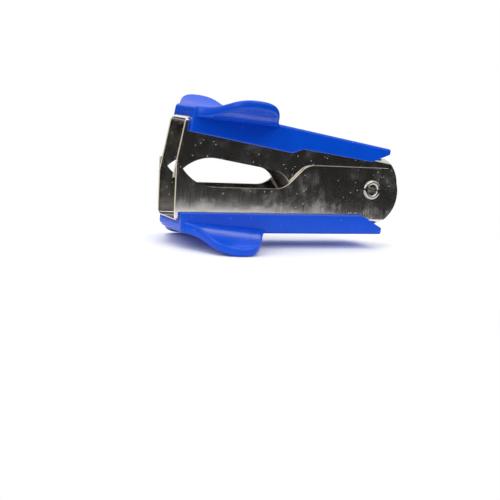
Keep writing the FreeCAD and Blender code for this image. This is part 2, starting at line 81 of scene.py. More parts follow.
# ------------------------------------------------------------------ sizes and colours
class GripSizes(bpy.types.PropertyGroup):
    """Sizes shared by the two moulded grips"""
    edge_round: FloatProperty(name="Edge rounding", default=0.32, min=0.05, max=0.6,
                              description="Radius along the moulded edges, mm")
    rim_round: FloatProperty(name="Wing rim rounding", default=0.58, min=0.1, max=0.9,
                             description="Radius along the rim of the wings, mm")
    wing_thickness: FloatProperty(name="Wing thickness", default=1.85, min=1.4, max=2.4,
                                  description="Thickness of the wings at their rim, mm")
    wing_bow: FloatProperty(name="Wing bow radius", default=22.5, min=20, max=40,
                            description="Radius of the wings' dished finger face, mm")


class FinishColours(bpy.types.PropertyGroup):
    """Colours of the finishes"""
    plastic: FloatVectorProperty(name="Grip plastic", subtype="COLOR", size=3, min=0, max=1,
                                 default=(0.0, 0.075, 0.64), description="Saturated blue")
    nickel: FloatVectorProperty(name="Nickel plate", subtype="COLOR", size=3, min=0, max=1,
                                default=(0.78, 0.755, 0.71), description="Warm bright plate")
    # painted highlight: this cream colour stands in for the light that the rounded cut edges of the plate
    # catch
    cut_edge_highlight: FloatVectorProperty(name="Sheared edge highlight", subtype="COLOR", size=3, min=0, max=1,
                                  default=(1.0, 0.90, 0.72), description="Painted highlight on the plated cut edge")
    wire: FloatVectorProperty(name="Spring wire", subtype="COLOR", size=3, min=0, max=1,
                              default=(0.42, 0.41, 0.40), description="Drawn spring wire")


class StageSizes(bpy.types.PropertyGroup):
    """Camera and lights"""
    aim: FloatVectorProperty(name="Aim point", size=3, default=(-28.08, 0.0, -15.19),
                             description="Point that the camera looks at, mm")
    distance: FloatProperty(name="Camera distance", default=240.6, description="From the aim, mm")
    azimuth: FloatProperty(name="Azimuth", default=26.48, description="Turn towards +X, degrees")
    elevation: FloatProperty(name="Elevation", default=8.85, description="Look down, degrees")
    roll: FloatProperty(name="Roll", default=4.32, description="Tilt about the view, degrees")
    lens: FloatProperty(name="Lens", default=75.4, description="Focal length, mm, 36 mm sensor")
    floor_radius: FloatProperty(name="Floor radius", default=70.0, description="Pale disc, mm")


# ------------------------------------------------------------------ mesh helpers
def new_piece(name, verts, faces, body, material, replaces=()):
    """Mesh object from arrays in millimetres, riding on a body, with its finish."""
    mesh = bpy.data.meshes.new(name)
    mesh.from_pydata((np.asarray(verts, float) * MM).tolist(), [], faces)
    return finish_piece(name, mesh, body, material, replaces)


def finish_piece(name, mesh, body, material, replaces=(), smooth_angle=SMOOTH_ANGLE):
    """Merges doubles, turns faces outwards, smooths below the angle and ties the piece to the frame."""
    work = bmesh.new()
    work.from_mesh(mesh)
    bmesh.ops.remove_doubles(work, verts=work.verts, dist=DOUBLES)
    bmesh.ops.dissolve_degenerate(work, dist=MERGE, edges=work.edges)
    bmesh.ops.recalc_face_normals(work, faces=work.faces)
    work.to_mesh(mesh)
    work.free()
    mesh.polygons.foreach_set("use_smooth", np.ones(len(mesh.polygons), bool))
    mesh.set_sharp_from_angle(angle=math.radians(smooth_angle))
    mesh.update()
    piece = bpy.data.objects.new(name, mesh)
    bpy.context.scene.collection.objects.link(piece)
    piece.data.materials.clear()
    piece.data.materials.append(material)
    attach(piece, body)
    if replaces:
        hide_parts(*replaces)
    return piece


def weigh_normals(piece):
    """Lets the large flat faces keep their own direction beside the roundings."""
    weigh = piece.modifiers.new("even shading", "WEIGHTED_NORMAL")
    weigh.keep_sharp = True
    return piece


def grid_faces(rows, columns, wrap_columns=True, start=0):
    """Quads of a grid of rows by columns of points, each row closed on itself when wrapped."""
    r = np.arange(rows - 1)[:, None]
    c = np.arange(columns if wrap_columns else columns - 1)[None, :]
    n = (c + 1) % columns
    quads = np.stack([r * columns + c, r * columns + n, (r + 1) * columns + n, (r + 1) * columns + c], -1)
    return (quads.reshape(-1, 4) + start).tolist()


def smooth_loop(points, per_span):
    """Closed curve through the points: each span is the cubic whose end tangents are half the
    chord between the neighbouring points (a Catmull-Rom curve)."""
    p = np.asarray(points, float)
    before, after, further = np.roll(p, 1, 0), np.roll(p, -1, 0), np.roll(p, -2, 0)
    t = (np.arange(per_span) / per_span)[None, :, None]
    a, b, c, d = (q[:, None, :] for q in (before, p, after, further))
    curve = 0.5 * (2 * b + (c - a) * t + (2 * a - 5 * b + 4 * c - d) * t ** 2
                   + (3 * b - a - 3 * c + d) * t ** 3)
    return curve.reshape(-1, 2)


def outward(curve):
    """Unit normals of a closed plane curve that runs anticlockwise, pointing out of it."""
    along = np.roll(curve, -1, 0) - np.roll(curve, 1, 0)
    along /= np.maximum(np.linalg.norm(along, axis=1, keepdims=True), FLAT)
    return np.stack([along[:, 1], -along[:, 0]], -1)


def fillet_loop(corners, steps=SECTION_STEPS):
    """Closed outline from (x, y, radius) corners, each corner replaced by an arc that touches
    both of its sides: the arc's points turn evenly from one side's direction to the other's."""
    c = np.asarray(corners, float)
    p, r = c[:, :2], c[:, 2]
    to_before, to_after = np.roll(p, 1, 0) - p, np.roll(p, -1, 0) - p
    to_before /= np.linalg.norm(to_before, axis=1, keepdims=True)
    to_after /= np.linalg.norm(to_after, axis=1, keepdims=True)
    half = 0.5 * np.arccos(np.clip((to_before * to_after).sum(1), -1, 1))
    centre_way = to_before + to_after
    centre_way /= np.maximum(np.linalg.norm(centre_way, axis=1, keepdims=True), FLAT)
    centre = p + centre_way * (r / np.sin(half))[:, None]
    start = p + to_before * (r / np.tan(half))[:, None] - centre
    end = p + to_after * (r / np.tan(half))[:, None] - centre
    first = np.arctan2(start[:, 1], start[:, 0])
    turn = np.arctan2(end[:, 1], end[:, 0]) - first
    turn = (turn + math.pi) % (2 * math.pi) - math.pi
    angle = first[:, None] + turn[:, None] * np.linspace(0, 1, steps)[None, :]
    ring = np.stack([np.cos(angle), np.sin(angle)], -1) * r[:, None, None] + centre[:, None, :]
    return ring.reshape(-1, 2)


def plate(outline, spine, top, under, radius, rings):
    """Curved plate: point (i, j) lies at share i / (rings - 1) of the line from spine point j to
    outline point j; its height is top(x, y) or under(x, y).  The rim is two quarter rounds, at
    r sin a outwards and r (1 - cos a) down or up, with a wall between."""
    way = outward(outline)
    inner = outline - way * radius
    field = spine + (inner - spine) * np.linspace(0, 1, rings)[:, None, None]
    turn = np.linspace(0, math.pi / 2, RIM_STEPS)[1:, None]
    rim = inner + way * (radius * np.sin(turn))[..., None]
    drop = radius * (1 - np.cos(turn))
    flat = np.concatenate([field, rim, rim[::-1], field[::-1]])
    height = np.concatenate([top(field), top(inner) - drop, (under(inner) + drop)[::-1],
                             under(field)[::-1]])
    return np.concatenate([flat, height[..., None]], -1)


def turned(profile, steps, centre=(0.0, 0.0), closed=False):
    """Lathe about a line along Y: profile points (radius, y) turned through a full circle, to
    (radius cos a, y, radius sin a) from the centre."""
    profile = np.asarray(profile, float)
    angle = np.linspace(0, 2 * math.pi, steps, endpoint=False)
    x = profile[:, :1] * np.cos(angle) + centre[0]
    z = profile[:, :1] * np.sin(angle) + centre[1]
    y = np.repeat(profile[:, 1:], steps, 1)
    verts = np.stack([x, y, z], -1)
    if closed:
        verts = np.concatenate([verts, verts[:1]])
    return verts


def tube(path, radius, sides=WIRE_SIDES):
    """Round wire: circles of one radius carried along the path, each square to it, with the first
    direction of each at the cross product of the path's direction and Y, and both ends domed: a
    dome's circles have radius r sin a at r (1 - cos a) from the end."""
    along = np.gradient(path, axis=0)
    along /= np.linalg.norm(along, axis=1, keepdims=True)
    side = np.cross(along, [0.0, 1.0, 0.0])
    side /= np.linalg.norm(side, axis=1, keepdims=True)
    other = np.cross(along, side)
    dome = np.linspace(0, math.pi / 2, DOME_STEPS)
    last = len(path) - 1
    scale = np.concatenate([np.sin(dome), np.ones(last - 1), np.sin(dome[::-1])])
    push = np.concatenate([1 - np.cos(dome), np.zeros(last - 1), np.cos(dome[::-1]) - 1])
    pick = np.concatenate([np.zeros(DOME_STEPS, int), np.arange(1, last), np.full(DOME_STEPS, last)])
    centre = path[pick] + along[pick] * (radius * push)[:, None]
    angle = np.linspace(0, 2 * math.pi, sides, endpoint=False)
    ring = (side[pick][:, None] * np.cos(angle)[None, :, None]
            + other[pick][:, None] * np.sin(angle)[None, :, None])
    return centre[:, None] + ring * (radius * scale)[:, None, None]


def shut(points):
    """Turns points drawn level with the inner jaw into its shut place, about the pivot:
    x' = x cos a + z sin a and z' = z cos a - x sin a."""
    c, s = math.cos(SHUT_ANGLE), math.sin(SHUT_ANGLE)
    out = np.array(points, float)
    out[..., 0] = points[..., 0] * c + points[..., 2] * s
    out[..., 2] = points[..., 2] * c - points[..., 0] * s
    return out


# ------------------------------------------------------------------ shader node groups
def group(name, inputs, outputs):
    """Empty shader group with named float, colour or vector sockets."""
    tree = bpy.data.node_groups.new(name, "ShaderNodeTree")
    for label, kind, default in inputs:
        socket = tree.interface.new_socket(name=label, in_out="INPUT", socket_type=kind)
        if default is not None:
            socket.default_value = default
    for label, kind in outputs:
        tree.interface.new_socket(name=label, in_out="OUTPUT", socket_type=kind)
    return tree, tree.nodes.new("NodeGroupInput"), tree.nodes.new("NodeGroupOutput")


def node(tree, kind, links=None, **values):
    """Adds a node, sets its values and inputs, and links what is given as a socket."""
    made = tree.nodes.new(kind)
    for key, value in values.items():
        setattr(made, key, value)
    for key, value in (links or {}).items():
        if isinstance(value, bpy.types.NodeSocket):
            tree.links.new(value, made.inputs[key])
        else:
            made.inputs[key].default_value = value
    return made


def sums(tree, operation, a, b=0.5, clamp=False):
    """One Math node."""
    return node(tree, "ShaderNodeMath", {0: a, 1: b}, operation=operation, use_clamp=clamp).outputs[0]


def ramp(tree, value, low, high):
    """Value stretched so that low gives 0 and high gives 1, held at both ends."""
    made = node(tree, "ShaderNodeMapRange", {"Value": value, "From Min": low, "From Max": high})
    return made.outputs["Result"]


def noise(tree, where, **values):
    """Value of a noise texture at the given coordinates."""
    return node(tree, "ShaderNodeTexNoise", {"Vector": where, **values}).outputs["Fac"]


def mix_colour(tree, share, a, b):
    """Colour a where the share is 0, colour b where it is 1."""
    made = node(tree, "ShaderNodeMix", data_type="RGBA")
    for index, value in ((0, share), (6, a), (7, b)):
        if isinstance(value, bpy.types.NodeSocket):
            tree.links.new(value, made.inputs[index])
        else:
            made.inputs[index].default_value = value
    return made.outputs[2]


def brushed_lines():
    """Brushing: noise stretched along one direction of the sheet, fine for the lines and broad for
    streaks of tone."""
    tree, gin, gout = group("brushed lines", [
        ("Stretch", "NodeSocketVector", (5200.0, 5200.0, 160.0)), ("Turn", "NodeSocketVector", (0, 0, 0))],
        [("Lines", "NodeSocketFloat"), ("Broad", "NodeSocketFloat")])
    coords = node(tree, "ShaderNodeTexCoord").outputs["Object"]
    turned_at = node(tree, "ShaderNodeMapping",
                     {"Vector": coords, "Rotation": gin.outputs["Turn"]}).outputs[0]
    mapped = node(tree, "ShaderNodeVectorMath", {0: turned_at, 1: gin.outputs["Stretch"]},
                  operation="MULTIPLY").outputs[0]
    fine = noise(tree, mapped, Scale=1.0, Detail=3.0, Roughness=0.65)
    wider = node(tree, "ShaderNodeVectorMath", {0: mapped, 1: (0.22, 0.22, 0.4)},
                 operation="MULTIPLY").outputs[0]
    broad = noise(tree, wider, Scale=1.0, Detail=2.0)
    tree.links.new(fine, gout.inputs["Lines"])
    tree.links.new(broad, gout.inputs["Broad"])
    return tree


def dust_specks():
    """Dust: the cores of some Voronoi cells, chosen by their random colour, thicker in patches."""
    tree, gin, gout = group("dust specks", [
        ("Density", "NodeSocketFloat", 0.5), ("Fineness", "NodeSocketFloat", 900.0)],
        [("Mask", "NodeSocketFloat")])
    coords = node(tree, "ShaderNodeTexCoord").outputs["Object"]
    cells = node(tree, "ShaderNodeTexVoronoi", {"Vector": coords, "Scale": gin.outputs["Fineness"],
                                                "Randomness": 1.0})
    dot = ramp(tree, cells.outputs["Distance"], 0.20, 0.10)
    tone = node(tree, "ShaderNodeSeparateColor", {0: cells.outputs["Color"]}).outputs[0]
    patch = noise(tree, coords, Scale=170.0, Detail=2.0)
    share = sums(tree, "MULTIPLY", gin.outputs["Density"], ramp(tree, patch, 0.38, 0.66))
    chosen = sums(tree, "LESS_THAN", tone, share)
    tree.links.new(sums(tree, "MULTIPLY", dot, chosen), gout.inputs["Mask"])
    return tree


def stray_scratches():
    """Scratches: the borders of long, bent Voronoi cells, kept in patches only."""
    tree, gin, gout = group("stray scratches", [
        ("Amount", "NodeSocketFloat", 0.5), ("Turn", "NodeSocketVector", (0.0, 0.6, 0.0))],
        [("Mask", "NodeSocketFloat")])
    coords = node(tree, "ShaderNodeTexCoord").outputs["Object"]
    bent = node(tree, "ShaderNodeTexNoise", {"Vector": coords, "Scale": 45.0}).outputs["Color"]
    warped = node(tree, "ShaderNodeVectorMath", {0: bent, 1: (0.003, 0.003, 0.003), 2: coords},
                  operation="MULTIPLY_ADD").outputs[0]
    mapped = node(tree, "ShaderNodeMapping", {"Vector": warped, "Rotation": gin.outputs["Turn"],
                                              "Scale": (2600.0, 900.0, 90.0)}).outputs[0]
    cells = node(tree, "ShaderNodeTexVoronoi", {"Vector": mapped, "Scale": 1.0},
                 feature="DISTANCE_TO_EDGE").outputs[0]
    lines = ramp(tree, cells, 0.05, 0.0)
    patch = noise(tree, coords, Scale=150.0, Detail=2.0)
    some = ramp(tree, patch, 0.56, 0.70)
    both = sums(tree, "MULTIPLY", lines, some)
    tree.links.new(sums(tree, "MULTIPLY", both, gin.outputs["Amount"]), gout.inputs["Mask"])
    return tree


def soft_mottling():
    """Mottling: plain soft noise."""
    tree, gin, gout = group("soft mottling", [
        ("Scale", "NodeSocketFloat", 120.0)], [("Fac", "NodeSocketFloat")])
    coords = node(tree, "ShaderNodeTexCoord").outputs["Object"]
    made = noise(tree, coords, Scale=gin.outputs["Scale"], Detail=4.0, Roughness=0.55)
    tree.links.new(made, gout.inputs["Fac"])
    return tree


def make_groups():
    """Shared effects, built once."""
    return {"brushed": brushed_lines(), "dust": dust_specks(), "scratches": stray_scratches(),
            "mottle": soft_mottling()}


def use(tree, groups, name, **values):
    """Places a shared group with its own values."""
    made = tree.nodes.new("ShaderNodeGroup")
    made.node_tree = groups[name]
    for key, value in values.items():
        made.inputs[key].default_value = value
    return made.outputs


def tint(colour, factor):
    """The colour made darker or lighter, with full alpha."""
    return (*[min(value * factor, 1) for value in colour], 1)


def new_material(name):
    """Material with its node tree and its Principled shader."""
    material = bpy.data.materials.new(name)
    material.use_nodes = True
    tree = material.node_tree
    return material, tree, tree.nodes["Principled BSDF"]


DUST_ON_PLASTIC = (0.55, 0.60, 0.78, 1)
DUST_ON_STEEL = (0.85, 0.84, 0.80, 1)
BARE_SCRATCH = (0.95, 0.93, 0.88, 1)


def blue_plastic(groups, colour):
    """Glossy moulded plastic: faint flow mottling, orange-peel bump, dust and hairline scratches."""
    material, tree, shader = new_material("blue moulded plastic")
    mottle = use(tree, groups, "mottle", Scale=210.0)["Fac"]
    base = mix_colour(tree, mottle, tint(colour, 0.86), tint(colour, 1.12))
    dust = use(tree, groups, "dust", Density=0.10, Fineness=1800.0)["Mask"]
    scratch = use(tree, groups, "scratches", Amount=0.35)["Mask"]
    speck = sums(tree, "MULTIPLY", dust, 0.55)
    base = mix_colour(tree, speck, base, DUST_ON_PLASTIC)
    tree.links.new(base, shader.inputs["Base Color"])
    rough = sums(tree, "MULTIPLY_ADD", mottle, 0.10)
    rough.node.inputs[2].default_value = 0.20
    rough = sums(tree, "ADD", rough, sums(tree, "MULTIPLY", scratch, 0.25))
    rough = sums(tree, "ADD", rough, sums(tree, "MULTIPLY", dust, 0.4))
    tree.links.new(rough, shader.inputs["Roughness"])
    peel = use(tree, groups, "mottle", Scale=2600.0)["Fac"]
    height = sums(tree, "MULTIPLY", peel, 0.35)
    height = sums(tree, "ADD", height, sums(tree, "MULTIPLY", mottle, 0.6))
    height = sums(tree, "SUBTRACT", height, sums(tree, "MULTIPLY", scratch, 0.5))
    bump = node(tree, "ShaderNodeBump", {"Height": height, "Strength": 0.10, "Distance": 0.00005})
    tree.links.new(bump.outputs[0], shader.inputs["Normal"])
    shader.inputs["IOR"].default_value = 1.49
    shader.inputs["Specular IOR Level"].default_value = 0.27
    shader.inputs["Coat Weight"].default_value = 0.04
    shader.inputs["Coat Roughness"].default_value = 0.15
    return material


def plated_steel(groups, colours, name, stretch, turn=(0, 0, 0), edge=True, shade=1.0):
    """Nickel plate over brushed sheet: streaked roughness and grooves, specks, stray scratches,
    and a warmer, duller band where the sheet was sheared: its cream colour and lowered metal are a
    painted highlight, standing in for the light that the rounded cut edge catches."""
    material, tree, shader = new_material(name)
    brushed = use(tree, groups, "brushed", Stretch=stretch, Turn=turn)
    mottle = use(tree, groups, "mottle", Scale=95.0)["Fac"]
    dust = use(tree, groups, "dust", Density=0.30, Fineness=1700.0)["Mask"]
    scratch = use(tree, groups, "scratches", Amount=0.8)["Mask"]
    base = mix_colour(tree, brushed["Broad"], tint(colours.nickel, 0.84 * shade),
                      tint(colours.nickel, shade))
    base = mix_colour(tree, sums(tree, "MULTIPLY", scratch, 0.5), base, BARE_SCRATCH)
    rough = sums(tree, "MULTIPLY_ADD", brushed["Lines"], 0.13)
    rough.node.inputs[2].default_value = 0.02
    rough = sums(tree, "ADD", rough, sums(tree, "MULTIPLY", mottle, 0.07))
    smudge = ramp(tree, use(tree, groups, "mottle", Scale=260.0)["Fac"], 0.48, 0.74)
    rough = sums(tree, "ADD", rough, sums(tree, "MULTIPLY", smudge, 0.14))
    rough = sums(tree, "ADD", rough, sums(tree, "MULTIPLY", scratch, 0.16))
    dust_and_cut_highlight = sums(tree, "MULTIPLY", dust, 0.9)
    # painted highlight: the sheared faces take the cream colour and lose metal so that they look lit even in
    # the shade; only their extra roughness is real
    if edge:
        cut = node(tree, "ShaderNodeAttribute", attribute_name="sheared").outputs["Fac"]
        base = mix_colour(tree, cut, base, (*colours.cut_edge_highlight, 1))
        rough = sums(tree, "MAXIMUM", rough, sums(tree, "MULTIPLY", cut, 0.34))
        dust_and_cut_highlight = sums(tree, "MAXIMUM", dust_and_cut_highlight, sums(tree, "MULTIPLY", cut, 0.6))
    base = mix_colour(tree, dust, base, DUST_ON_STEEL)
    rough = sums(tree, "ADD", rough, sums(tree, "MULTIPLY", dust, 0.5), clamp=True)
    metal = sums(tree, "SUBTRACT", 1.0, dust_and_cut_highlight)
    tree.links.new(base, shader.inputs["Base Color"])
    tree.links.new(rough, shader.inputs["Roughness"])
    tree.links.new(metal, shader.inputs["Metallic"])
    height = sums(tree, "ADD", sums(tree, "MULTIPLY", brushed["Lines"], 0.8),
                  sums(tree, "MULTIPLY", mottle, 0.6))
    height = sums(tree, "SUBTRACT", height, sums(tree, "MULTIPLY", scratch, 0.8))
    bump = node(tree, "ShaderNodeBump", {"Height": height, "Strength": 0.09, "Distance": 0.00003})
    tree.links.new(bump.outputs[0], shader.inputs["Normal"])
    return material


def spring_wire(groups, colours):
    """Drawn steel wire: draw marks along it, dark oily mottling and a soft sheen."""
    material, tree, shader = new_material("drawn spring wire")
    mottle = use(tree, groups, "mottle", Scale=420.0)["Fac"]
    base = mix_colour(tree, mottle, tint(colours.wire, 0.65), tint(colours.wire, 1))
    tree.links.new(base, shader.inputs["Base Color"])
    rough = sums(tree, "MULTIPLY_ADD", mottle, 0.25)
    rough.node.inputs[2].default_value = 0.22
    tree.links.new(rough, shader.inputs["Roughness"])
    shader.inputs["Metallic"].default_value = 1.0
    lines = use(tree, groups, "brushed", Stretch=(900.0, 7000.0, 900.0))["Lines"]
    bump = node(tree, "ShaderNodeBump", {"Height": lines, "Strength": 0.15, "Distance": 0.00003})
    tree.links.new(bump.outputs[0], shader.inputs["Normal"])
    return material


FINISHES = {}


def finishes():
    """The finishes, made once for the whole object."""
    if not FINISHES:
        colours = bpy.context.scene.staple_remover_colours
        groups = make_groups()
        FINISHES["plastic"] = blue_plastic(groups, tuple(colours.plastic))
        FINISHES["outer"] = plated_steel(groups, colours, "nickel plate, upright brushing",
                                         (4300.0, 4300.0, 120.0))
        FINISHES["inner"] = plated_steel(groups, colours, "nickel plate, slanted brushing",
                                         (4300.0, 4300.0, 150.0), turn=(0.0, 0.35, 0.0))
        FINISHES["turned"] = plated_steel(groups, colours, "nickel plate, turned",
                                          (2500.0, 9000.0, 2500.0), edge=False)
        FINISHES["rivet"] = plated_steel(groups, colours, "nickel plate, rolled rivet",
                                         (2500.0, 9000.0, 2500.0), edge=False, shade=0.7)
        FINISHES["wire"] = spring_wire(groups, colours)
    return FINISHES


# ------------------------------------------------------------------ moulded grips
# o counts outwards from the pivot to the finger face; edge lists (x, o) along the flanges' free edge
GRIPS = {
    "lower_grip": dict(body="lower_half", out=-1.0, turn=False, half=5.25, flange=6.5, web=8.1, floor=8.35,
                       face=10.4, edge=((-48.3, 6.0), (-2.5, 6.0), (2.9, 8.9)), front_cut=0.9),
    "upper_grip": dict(body="upper_half", out=1.0, turn=True, half=4.5, flange=5.75, web=7.7, floor=8.45,
                       face=10.2, front_cut=0.45,
                       edge=((-48.3, 4.55), (-22.9, 4.55), (-20.3, 5.9), (-1.75, 6.4), (2.7, 9.0))),
}
WING_PLAN = ((-48.1, 0.0), (-48.1, 3.5), (-47.9, 5.9), (-46.9, 7.2), (-46.0, 8.8), (-45.2, 10.8),
             (-44.4, 12.9), (-43.2, 14.9), (-41.4, 16.2), (-39.0, 16.85), (-36.8, 16.97), (-34.9, 16.5),
             (-33.4, 15.3), (-32.0, 13.3), (-30.6, 10.7), (-29.1, 8.2), (-27.8, 6.0), (-27.2, 3.0),
             (-27.2, 0.0))
SPINE = (-44.0, -31.5)      # where the lines of the wings' surface gather
WING_RINGS = 56
PLAN_STEPS = 7              # points between two points of the plan
FLAT_Y = 4.6                # the finger face is flat this far from the middle
WING_HALF = 17.0
# the finger face dips over a run behind rear_x, lifts over a run before front_x, and stands proud
# of the channel; the wings' crease rises along x, and the underside sinks into the floor within
FACE = dict(proud=0.03, rear_x=-31.0, rear_run=3.4, rear_dip=0.17, front_x=-37.0, front_run=6.0,
            front_lift=0.10)
CREASE = dict(o=7.9, x=-45.0, rise=0.09, flange_in=0.6, half_out=0.8, sink=0.3)
SHEET = 0.6
PEGS = (-40.0, -25.0)
PEG_SIDES = 40
PEG = dict(boss=2.6, radius=1.45, round=0.2, dimple=0.35, dimple_rim=0.5, dimple_depth=0.15, past=0.05)
FLOOR_ROUND, FACE_ROUND = 0.35, 0.6
STATIONS = 60               # sections along a channel
END_STEPS = 5               # sections round each of its ends
FRONT_SLOPE = 0.8           # drop of the finger face per length of the front cut
LEAST_SKIRT = 0.01          # share of the skirt's height that is left where the edge meets the floor
LIP = dict(back=0.12, depth=1.3, under=0.02, into=0.4, low_round=0.2, high_round=0.1, side=0.3, bend=1.1,
           follow=0.3, stations=9)


def in_place(grip, x, y, o):
    """Frame coordinates of a point of a grip given by x, y and its height outwards."""
    points = np.stack([x, y, grip["out"] * o], -1)
    return shut(points) if grip["turn"] else points


def grip_body(grip, edge_round):
    """Channel moulding: a rounded U section carried along X.  Below the floor each section is
    stretched so that the flanges end on the edge line, and both ends are a quarter round, whose
    sections shrink by r (1 - sin a) at r (1 - cos a) from the end."""
    edge_x, edge_o = np.array(grip["edge"]).T
    half, flange, floor, face = (grip[k] for k in ("half", "flange", "floor", "face"))
    low = edge_o[0]
    section = fillet_loop([
        (half, floor, FLOOR_ROUND), (half, low, edge_round), (flange, low, edge_round),
        (flange, face, FACE_ROUND), (-flange, face, FACE_ROUND), (-flange, low, edge_round),
        (-half, low, edge_round), (-half, floor, FLOOR_ROUND)])
    way = outward(section)
    turn = np.linspace(0, math.pi / 2, END_STEPS)
    start, stop = edge_x[0], edge_x[-1]
    near_end = edge_round * (1 - np.cos(turn))
    middle = np.unique(np.concatenate([np.linspace(start + FACE_ROUND, stop - FACE_ROUND, STATIONS),
                                       edge_x[1:-1], [start + grip["front_cut"]]]))
    x = np.concatenate([start + near_end, middle, (stop - near_end)[::-1]])
    shrink = edge_round * (1 - np.sin(turn))
    shrink = np.concatenate([shrink, np.zeros(len(middle)), shrink[::-1]])
    ring = section[None] - way[None] * shrink[:, None, None]
    y, o = ring[..., 0], ring[..., 1]
    edge = np.interp(x, edge_x, edge_o)[:, None]
    share = np.clip((floor - edge) / (floor - low), LEAST_SKIRT, 1)
    o = np.where(o < floor, floor + (o - floor) * share, o)
    o = np.maximum(o, edge)
    drop = np.clip(start + grip["front_cut"] - x, 0, None)[:, None] * FRONT_SLOPE
    o = o - drop * np.clip((o - floor) / (face - floor), 0, 1)
    verts = in_place(grip, np.repeat(x[:, None], y.shape[1], 1), y, o)
    rows, columns = y.shape
    faces = grid_faces(rows, columns)
    faces.append(list(range(columns))[::-1])
    faces.append([(rows - 1) * columns + k for k in range(columns)])
    return verts.reshape(-1, 3), faces


def wing_slab(grip, sizes):
    """Both wings and the pad between them.  The finger face is flat to y = 4.6 and then bows
    outwards on a circle, o = face + R - sqrt(R^2 - (|y| - 4.6)^2), with a dip at its rear and a
    lift at its front; the underside leaves the flange at the crease and closes in evenly to the
    rim's thickness."""
    plan = np.array(WING_PLAN)
    points = np.concatenate([plan, (plan[1:-1] * [1, -1])[::-1]])[::-1]
    outline = smooth_loop(points, PLAN_STEPS)
    spine = np.column_stack([np.clip(outline[:, 0], *SPINE), np.zeros(len(outline))])
    face, floor, half, flange = (grip[k] for k in ("face", "floor", "half", "flange"))

    def top(flat):
        """Height of the finger face."""
        x, side = flat[..., 0], np.clip(np.abs(flat[..., 1]) - FLAT_Y, 0, WING_HALF)
        rear = np.clip((x - FACE["rear_x"]) / FACE["rear_run"], 0, 1)
        front = np.clip((FACE["front_x"] - x) / FACE["front_run"], 0, 1)
        bow = sizes.wing_bow
        return (face + FACE["proud"] + bow - np.sqrt(bow ** 2 - side ** 2) - FACE["rear_dip"] * rear ** 2
                + FACE["front_lift"] * front * (side / (WING_HALF - FLAT_Y)) ** 2)

    def under(flat):
        """Height of the underside."""
        y = np.abs(flat[..., 1])
        share = np.clip((y - flange) / (WING_HALF - flange), 0, 1)
        crease = CREASE["o"] + CREASE["rise"] * (flat[..., 0] - CREASE["x"])
        depth = (face - crease) * (1 - share) + sizes.wing_thickness * share
        within = np.clip((flange - CREASE["flange_in"] - y) / (flange - half - CREASE["half_out"]), 0, 1)
        return (top(flat) - depth) * (1 - within) + (floor + CREASE["sink"]) * within

    rows = plate(outline, spine, top, under, sizes.rim_round, WING_RINGS)
    verts = in_place(grip, rows[..., 0], rows[..., 1], rows[..., 2])
    return verts.reshape(-1, 3), grid_faces(*rows.shape[:2])


def grip_peg(grip, x):
    """Round boss on the floor of the channel, and the peg that goes on from it through the web:
    a profile turned about o."""
    web, top = grip["web"], grip["floor"] + CREASE["sink"]
    end = web - SHEET + PEG["past"]
    boss, radius, round_, deep = PEG["boss"], PEG["radius"], PEG["round"], end + PEG["dimple_depth"]
    profile = np.array([(0, top), (boss, top), (boss, web + round_), (boss - round_, web), (radius, web),
                        (radius, end + round_), (radius - round_, end), (PEG["dimple_rim"], end),
                        (PEG["dimple"], deep), (0, deep)])
    ring = turned(profile, PEG_SIDES)
    verts = in_place(grip, ring[..., 0] + x, ring[..., 2], ring[..., 1])
    return verts.reshape(-1, 3), grid_faces(*ring.shape[:2])


def front_lip(grip):
    """Bar across the channel's mouth that closes the gap between the floor and the web: a rounded
    section in x and o, carried along y from flange to flange, whose lower side follows the web's
    bend, o - r + sqrt(r^2 - d^2) at the distance d into the bend."""
    web, bend_r = grip["web"], LIP["bend"]
    low, high = web + LIP["under"], grip["floor"] + LIP["into"]
    front = grip["edge"][0][0] + LIP["back"]
    rear = front + LIP["depth"]
    section = fillet_loop([(front, low, LIP["low_round"]), (rear, low, LIP["low_round"]),
                           (rear, high, LIP["high_round"]), (front, high, LIP["high_round"])])
    y = np.linspace(-1, 1, LIP["stations"])[:, None] * (grip["half"] + LIP["side"])
    x, o = section[:, 0][None] + 0 * y, section[:, 1][None] + 0 * y
    bend = np.clip(np.abs(y) - (grip["half"] - bend_r), 0, bend_r)
    o = np.where(o < web + LIP["follow"],
                 o - bend_r + np.sqrt(np.clip(bend_r ** 2 - bend ** 2, 0, None)), o)
    verts = in_place(grip, x, y + 0 * x, o)
    rows, columns = x.shape
    faces = grid_faces(rows, columns)
    faces += [list(range(columns))[::-1], [(rows - 1) * columns + k for k in range(columns)]]
    return verts.reshape(-1, 3), faces


def joined(parts):
    """One list of vertices and faces from several."""
    verts, faces, count = [], [], 0
    for part_verts, part_faces in parts:
        verts.append(part_verts)
        faces += [[k + count for k in face] for face in part_faces]
        count += len(part_verts)
    return np.concatenate(verts), faces


class STAPLE_OT_grips(bpy.types.Operator):
    """Builds the two blue finger grips with their dished wings"""
    bl_idname = "staple_remover.grips"
    bl_label = "Finger Grips"

    def execute(self, context):
        """Joins channel, wings, lip and pegs into one moulding for each jaw."""
        sizes = context.scene.staple_remover_grips
        for name, grip in GRIPS.items():
            parts = [grip_body(grip, sizes.edge_round), wing_slab(grip, sizes), front_lip(grip)]
            parts += [grip_peg(grip, x) for x in PEGS]
            verts, faces = joined(parts)
            piece = new_piece(name + "_moulding", verts, faces, grip["body"],
                              finishes()["plastic"], [name])
            weigh_normals(piece)
        return {"FINISHED"}


